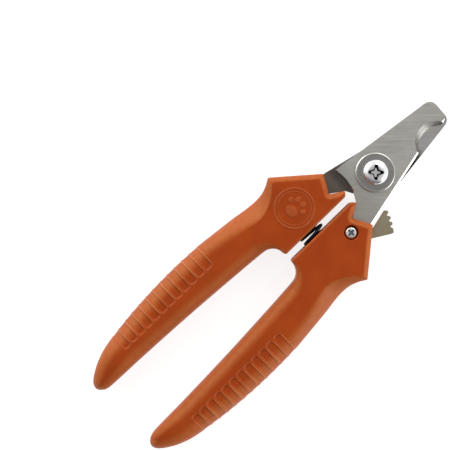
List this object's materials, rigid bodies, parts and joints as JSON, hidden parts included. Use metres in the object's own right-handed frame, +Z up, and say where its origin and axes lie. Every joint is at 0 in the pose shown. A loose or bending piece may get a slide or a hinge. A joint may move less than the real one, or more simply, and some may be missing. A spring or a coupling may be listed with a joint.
{
  "type": "pet nail trimmer",
  "caption": "Plier-type pet nail trimmer: two crossed steel blades with a half-round notch, spring-opened moulded handles and a toothed lock lever.",
  "frame": {"origin": "middle of the tool's outline, on the surface it lies on, jaws closed", "axes": "+X along the tool towards the jaw tip, +Y across it towards the left handle, +Z up along the jaw pivot"},
  "size_m": [0.1658, 0.0542, 0.0144],
  "materials": {
    "handle_plastic": "orange-brown moulded plastic, satin",
    "blade_steel": "ground stainless steel, brushed",
    "bright_chrome": "bright plated screw",
    "washer_steel": "plain steel",
    "lever_steel": "olive-grey plated steel",
    "zinc_screw": "bright zinc",
    "black_spring": "black oxide spring wire"
  },
  "bodies": {
    "left_half": {"handle_left": "handle_plastic", "blade_rear": "blade_steel", "pivot_screw": "bright_chrome", "top_washer": "washer_steel", "bottom_washer": "washer_steel", "pivot_nut": "washer_steel", "return_spring": "black_spring"},
    "right_half": {"handle_right": "handle_plastic", "blade_front": "blade_steel", "lever_screw": "zinc_screw", "lever_washer": "washer_steel", "lever_nut": "zinc_screw"},
    "lever": {"lock_lever": "lever_steel"}
  },
  "joints": [
    {"name": "jaw_pivot", "type": "hinge", "parent": "left_half", "child": "right_half", "pos_m": [0.0487, 0, 0.007], "axis": [0, 0, 1], "range_deg": [-2, 28], "stiffness_Nm_per_rad": 1.5, "springref_deg": 31.51, "deforming": ["return_spring"]},
    {"name": "lever_pivot", "type": "hinge", "parent": "right_half", "child": "lever", "pos_m": [0.0264, -0.0097, 0.007], "axis": [0, 0, 1], "range_deg": [-15, 5]}
  ]
}
